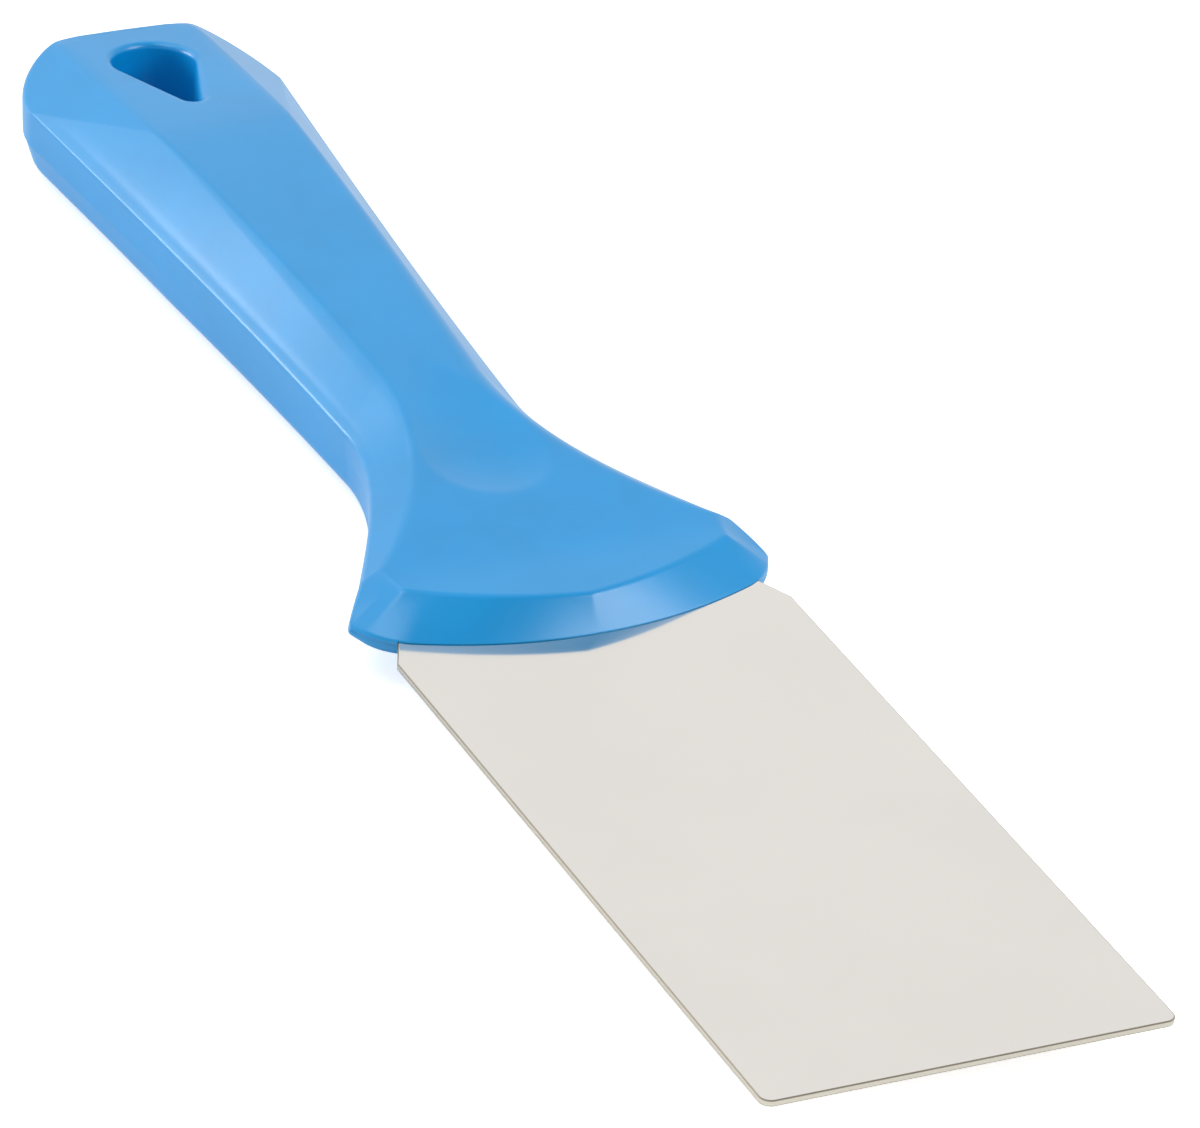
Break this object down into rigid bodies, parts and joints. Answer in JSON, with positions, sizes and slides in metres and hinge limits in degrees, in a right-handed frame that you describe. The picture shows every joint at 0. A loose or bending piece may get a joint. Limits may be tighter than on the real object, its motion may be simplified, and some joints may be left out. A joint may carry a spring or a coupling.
{
  "type": "hand scraper",
  "caption": "Stiff steel hand scraper with a blue moulded grip, a thumb dish and a teardrop hanging hole.",
  "frame": {"origin": "middle of the whole tool's footprint, on the flat underside of the handle", "axes": "+X across the blade, -Y towards the blade's front edge, +Y towards the hanging hole, +Z out of the top face with the thumb dish"},
  "size_m": [0.0538, 0.2354, 0.0166],
  "materials": {
    "satin_steel": "satin stainless sheet, finely brushed",
    "blue_polypropylene": "satin moulded polypropylene"
  },
  "bodies": {
    "root": {"blade": "satin_steel", "handle": "blue_polypropylene"}
  },
  "joints": []
}
